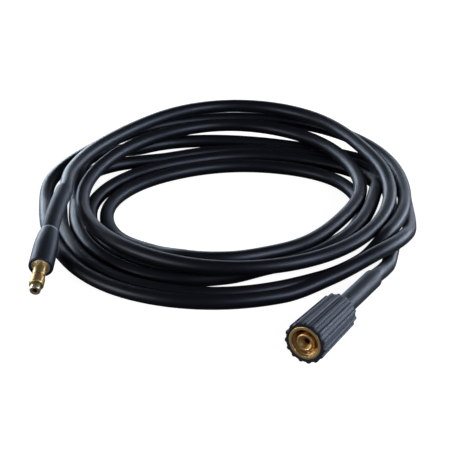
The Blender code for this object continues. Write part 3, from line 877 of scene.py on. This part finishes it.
def makeNutInsert():
    outer, bore = nutInsert["diameter"] / 2, nutInsert["bore"] / 2
    hole = nutNipple["neck"] / 2 + fitGap
    length, step, start = (nutInsert[key] for key in ("length", "mouthStep", "threadStart"))
    webFront = length - nutInsert["web"]
    corners = [(bore + step, 0, 0.0003), (outer - 0.0001, 0, 0.0004), (outer, length, 0),
               (hole, length, 0), (hole, webFront, 0), (bore, webFront, 0)]
    pitch = nutInsert["threadPitch"]
    rings = int((webFront - start) / pitch * nutInsert["ringsPerThread"])
    for back in np.linspace(webFront - pitch, start, rings):
        corners.append((bore, float(back), 0))
    corners.append((bore + step, nutInsert["mouthDepth"], 0))
    bm = turnedSolid(corners, nutInsert["steps"])
    for vert in bm.verts:
        radius = math.hypot(vert.co.x, vert.co.y)
        back = vert.co.z
        if abs(radius - bore) > 0.00005 or not start - 0.0001 < back < webFront - pitch / 2:
            continue
        phase = back / pitch - math.atan2(vert.co.y, vert.co.x) / math.tau
        flank = (0.5 - 0.5 * math.cos(math.tau * phase)) ** nutInsert["flankSharpness"]
        frontFade = (back - start + nutInsert["frontFade"]) / nutInsert["frontFade"]
        rearFade = (webFront - pitch - back) / nutInsert["rearFade"]
        ends = max(0.0, min(1.0, frontFade, rearFade))
        grown = (radius + nutInsert["threadDepth"] * flank * ends) / radius
        vert.co.x *= grown
        vert.co.y *= grown
    brass = turnedMetal("insertBrass", nutAxis, insertFinish)[0]
    finishPiece("threadedInsert", bm, brass, "nut", "nut_insert", nutAxis, 50)


barbs = {"length": 0.0220, "count": 4, "depth": 0.0004, "peak": 0.35}


def barbSteps(start, bore):
    # barbed shank hidden in the hose, back to the water bore
    top = hose["bore"] / 2 - fitGap
    root = top - barbs["depth"]
    pitch = barbs["length"] / barbs["count"]
    corners = []
    for step in range(barbs["count"]):
        corners.append((root, start + step * pitch, 0))
        corners.append((top, start + (step + barbs["peak"]) * pitch, 0))
    corners.append((root, start + barbs["length"], 0))
    corners.append((bore, start + barbs["length"], 0))
    return corners


def makeNutNipple():
    tube, neck, bore = (nutNipple[key] / 2 for key in ("diameter", "neck", "waterBore"))
    flange = nutInsert["bore"] / 2 - fitGap
    flangeBack = nutInsert["length"] - nutInsert["web"] - fitGap
    flangeFront = flangeBack - nutNipple["flange"]
    front = nutNipple["setback"]
    shank = hose["nutEnd"] - fitGap
    coneEnd = front + nutNipple["mouthDepth"]
    corners = [(nutNipple["mouth"] / 2, front, 0.0004), (tube, front, 0.0009),
               (tube, flangeFront, 0.0004), (flange, flangeFront, 0.0003),
               (flange, flangeBack, 0), (neck, flangeBack, 0), (neck, shank, 0),
               *barbSteps(shank, bore),
               (bore, coneEnd + 0.0004, 0.0003), (bore + 0.0006, coneEnd - 0.0004, 0.0003)]
    bm = turnedSolid(corners, nutNipple["steps"])
    brass = turnedMetal("nippleBrass", nutAxis, nippleFinish)[0]
    finishPiece("nutNipple", bm, brass, "hose", "nut_nipple", nutAxis,
                50)


def makeNutSleeve():
    outer, inner = nutSleeve["diameter"] / 2, hose["diameter"] / 2 + fitGap
    front, rear, edge = nutSleeve["front"], nutSleeve["rear"], nutSleeve["edge"]
    corners = [(inner, front, 0), (outer, front, 0.0004)]
    between = nutSleeve["endRing"]
    for back in np.linspace(front + between, rear - between, nutSleeve["rings"]):
        corners.append((outer, float(back), 0))
    corners += [(outer, rear, edge * 0.7), (inner, rear, 0.0002)]
    bm = turnedSolid(corners, nutSleeve["steps"])
    ring = (nutGrip["length"] + nutSleeve["ringPlace"], nutSleeve["ringWidth"],
            nutSleeve["ringColour"])
    skin = mouldedPlastic("sleevePlastic", smoothSlate, nutSleeve["roughness"], ring, nutAxis)[0]
    finishPiece("nutSleeve", bm, skin, "hose", "nut_sleeve", nutAxis, 40)


makeNutGrip()
makeNutInsert()
makeNutNipple()
makeNutSleeve()
print("hand nut made")


# Quick connect plug.

plugPin = {
    "tipDiameter": 0.0092,
    "tipLength": 0.0040,
    "sealSection": 0.0022,
    "sealStand": 0.0003,
    "bulgeDiameter": 0.0124,
    "bulgeLength": 0.0092,
    "waistDiameter": 0.0102,
    "waistLength": 0.0018,
    "rearDiameter": 0.0112,
    "rearLength": 0.0115,
    "hiddenDiameter": 0.0124,
    "waterBore": 0.0042,
    "steps": 96,
}

# each zone starts and ends over two short spans, measured back from the tip
pinFinish = {
    "bright": ((0.92, 0.68, 0.32, 1), (0.84, 0.57, 0.23, 1)),
    "tarnishAndShade": (0.50, 0.27, 0.07, 1),
    "shadeDepths": (0.5, 0.6),
    "roughness": 0.40,
    "tarnish": 0.20,
    "tipColour": (0.80, 0.70, 0.54, 1),
    "tipEnd": (0.0035, 0.0045),
    "bulgeColour": (0.82, 0.48, 0.22, 1),
    "bulgeStart": (0.0075, 0.0100),
    "bulgeEnd": (0.0158, 0.0164),
    "waistColour": (0.26, 0.12, 0.03, 1),
    "waistStart": (0.0156, 0.0161),
    "waistEnd": (0.0177, 0.0184),
    # painted shade in the water bore, and the radii where it starts and is full
    "boreShadeColour": (0.34, 0.17, 0.05, 1),
    "boreRadius": (0.0021, 0.0026),
}

plugSeal = {
    "sectionSteps": 20,
    "steps": 72,
    "grain": 3000.0,
    "patch": 220.0,
    "bumpDepth": 0.00002,
    "bumpStrength": 0.5,
    "darker": (0.030, 0.060, 0.018, 1),
    "paler": (0.075, 0.115, 0.040, 1),
    "roughness": (0.28, 0.42),
}

plugCollar = {"diameter": 0.0160, "length": 0.0070, "setback": 0.0004, "steps": 80}

collarFinish = {
    "bright": ((0.97, 0.96, 0.93, 1), (0.88, 0.87, 0.83, 1)),
    "tarnishAndShade": (0.55, 0.53, 0.48, 1),
    "shadeDepths": (0.5, 0.6),
    "roughness": 0.45,
    "tarnish": 0.2,
}

plugGrip = {
    "diameter": 0.0212,
    "neck": 0.0164,
    "length": 0.0460,
    "lip": 0.0012,
    # shares of its length: the rings between its ends, and the taper's start and run
    "firstRing": 0.12,
    "lastRing": 0.96,
    "rings": 22,
    "taperStart": 0.35,
    "taperRun": 0.65,
    "taperPower": 2.4,
    "steps": 96,
    "edgeWidth": 0.0012,
    "roughness": 0.46,
}

plugBoot = {
    "diameter": 0.0153,
    "edge": 0.0018,
    "rings": 30,
    "steps": 64,
    "edgeWidth": 0.0008,
    "roughness": 0.54,
}


def sealShoulder():
    return plugPin["tipLength"] + plugPin["sealSection"] + 2 * fitGap


def gripMouth():
    return sealShoulder() + plugPin["bulgeLength"] + plugPin["waistLength"] + plugPin["rearLength"]


def pinBrass():
    # silvery worn tip, coppery bulge, pale gold rear, and painted shade in the bore
    material, tree, shader, axis = turnedMetal("pinBrass", plugAxis, pinFinish)
    plain = shader.inputs["Base Color"].links[0].from_socket
    back, radius = axis.outputs["Back"], axis.outputs["Radius"]
    onTip = spread(tree, back, 0.75, 0.0, *pinFinish["tipEnd"])
    pale = mixColours(tree, onTip, plain, pinFinish["tipColour"])
    onBulge = combine(tree, "MULTIPLY", spread(tree, back, 0.0, 0.7, *pinFinish["bulgeStart"]),
                      spread(tree, back, 1.0, 0.0, *pinFinish["bulgeEnd"]))
    warm = mixColours(tree, onBulge, pale, pinFinish["bulgeColour"])
    onWaist = combine(tree, "MULTIPLY", spread(tree, back, 0.0, 0.75, *pinFinish["waistStart"]),
                      spread(tree, back, 1.0, 0.0, *pinFinish["waistEnd"]))
    brown = mixColours(tree, onWaist, warm, pinFinish["waistColour"])
    # painted shade in the bore
    boreShadeMask = spread(tree, radius, 0.95, 0.0, *pinFinish["boreRadius"])
    boreShaded = mixColours(tree, boreShadeMask, brown, pinFinish["boreShadeColour"])
    tree.links.new(boreShaded, shader.inputs["Base Color"])
    return material


def makePlugPin():
    tip, bulge, waist, rear, hidden = (
        plugPin[part + "Diameter"] / 2 for part in ("tip", "bulge", "waist", "rear", "hidden"))
    bore = plugPin["waterBore"] / 2
    seat = tip + plugPin["sealStand"] - plugPin["sealSection"] - fitGap
    shoulder = sealShoulder()
    bulgeEnd = shoulder + plugPin["bulgeLength"]
    rearStart = bulgeEnd + plugPin["waistLength"]
    hiddenStart = gripMouth() + plugCollar["setback"] + plugCollar["length"] + fitGap
    shank = hose["plugEnd"] - fitGap
    corners = [(bore, 0.0002, 0.0003), (tip, 0, 0.0009), (tip, plugPin["tipLength"], 0.0003),
               (seat, plugPin["tipLength"], 0), (seat, shoulder, 0), (bulge, shoulder, 0.0010),
               (bulge, bulgeEnd, 0.0008), (waist, bulgeEnd + 0.0003, 0.0002),
               (waist, rearStart - 0.0003, 0.0002), (rear, rearStart, 0.0005),
               (rear, hiddenStart, 0), (hidden, hiddenStart, 0), (hidden, shank, 0),
               *barbSteps(shank, bore)]
    bm = turnedSolid(corners, plugPin["steps"])
    finishPiece("plugPin", bm, pinBrass(), "hose", "plug_nipple", plugAxis,
                50)


def makePlugSeal():
    section = plugPin["sealSection"] / 2
    middle = plugPin["tipDiameter"] / 2 + plugPin["sealStand"] - section
    centre = (plugPin["tipLength"] + sealShoulder()) / 2
    corners = []
    for step in range(plugSeal["sectionSteps"]):
        angle = math.tau * step / plugSeal["sectionSteps"]
        corners.append((middle + section * math.cos(angle), centre + section * math.sin(angle), 0))
    bm = turnedSolid(corners, plugSeal["steps"])
    material, tree, shader = newMaterial("greenSeal", 0.0, 0.25)
    grain = placeGroup(tree, surfaceGrain, objectPlace(tree), Grain=plugSeal["grain"],
                       Patch=plugSeal["patch"])
    addBump(tree, shader, grain.outputs["Height"], plugSeal["bumpDepth"], plugSeal["bumpStrength"])
    patches = grain.outputs["Patches"]
    green = mixColours(tree, patches, plugSeal["darker"], plugSeal["paler"])
    tree.links.new(green, shader.inputs["Base Color"])
    roughness = spread(tree, patches, *plugSeal["roughness"])
    tree.links.new(roughness, shader.inputs["Roughness"])
    finishPiece("plugSeal", bm, material, "hose", "plug_o_ring", plugAxis)


def makePlugCollar():
    outer, inner = plugCollar["diameter"] / 2, plugPin["rearDiameter"] / 2 + fitGap
    front = gripMouth() + plugCollar["setback"]
    rear = front + plugCollar["length"]
    corners = [(inner, front, 0.0004), (outer, front, 0.0005), (outer, rear, 0.0003),
               (inner, rear, 0)]
    bm = turnedSolid(corners, plugCollar["steps"])
    steel = turnedMetal("collarSteel", plugAxis, collarFinish)[0]
    finishPiece("plugCollar", bm, steel, "hose", "plug_collar", plugAxis, 50)


def makePlugGrip():
    outer, neck = plugGrip["diameter"] / 2, plugGrip["neck"] / 2
    taper = outer - neck
    seat = plugCollar["diameter"] / 2 + fitGap
    inner = hose["diameter"] / 2 + fitGap
    front, length = gripMouth(), plugGrip["length"]
    rear = front + length
    collarEnd = front + plugCollar["setback"] + plugCollar["length"] + fitGap
    corners = [(seat, front, 0.0005), (outer, front, plugGrip["lip"] * 1.3)]
    for part in np.linspace(plugGrip["firstRing"], plugGrip["lastRing"], plugGrip["rings"]):
        tapered = max(0.0, (part - plugGrip["taperStart"]) / plugGrip["taperRun"])
        drop = tapered ** plugGrip["taperPower"]
        corners.append((float(outer - taper * drop), float(front + length * part), 0))
    corners += [(neck, rear, 0.0005), (inner, rear, 0), (inner, collarEnd, 0),
                (seat, collarEnd, 0)]
    bm = turnedSolid(corners, plugGrip["steps"])
    # painted highlight along the seam at the grip's rear edge
    edge = (rear - 0.0003, plugGrip["edgeWidth"], plastic["paintedSeamHighlight"])
    skin = mouldedPlastic("gripPlastic", smoothSlate, plugGrip["roughness"], edge, plugAxis)[0]
    finishPiece("plugGrip", bm, skin, "hose", "plug_grip", plugAxis, 40)


def makePlugBoot():
    outer, inner = plugBoot["diameter"] / 2, hose["diameter"] / 2 + fitGap
    front = hose["bootFront"]
    rear = front + hose["bootLength"]
    backs = [float(back) for back in np.linspace(front, rear - plugBoot["edge"], plugBoot["rings"])]
    corners = [(outer, back, 0) for back in backs]
    corners += [(outer, rear, plugBoot["edge"] * 0.7), (inner, rear, 0.0002)]
    corners += [(inner, back, 0) for back in reversed(backs)]
    bm = turnedSolid(corners, plugBoot["steps"])
    straightSag = bootLine(0)[2]
    for vert in bm.verts:
        place, way, sag = bootLine(vert.co.z)
        across = Vector((vert.co.x, vert.co.y, 0))
        vert.co = place + across + (sag - straightSag) * across.dot(straightSag)
    # painted highlight along the seam at the boot's front edge
    edge = (front, plugBoot["edgeWidth"], plastic["paintedSeamHighlight"])
    skin = mouldedPlastic("bootPlastic", smoothSlate, plugBoot["roughness"], edge, plugAxis)[0]
    finishPiece("plugBoot", bm, skin, "hose", "plug_boot", plugAxis, 40)


makePlugPin()
makePlugSeal()
makePlugCollar()
makePlugGrip()
makePlugBoot()
print("plug made")
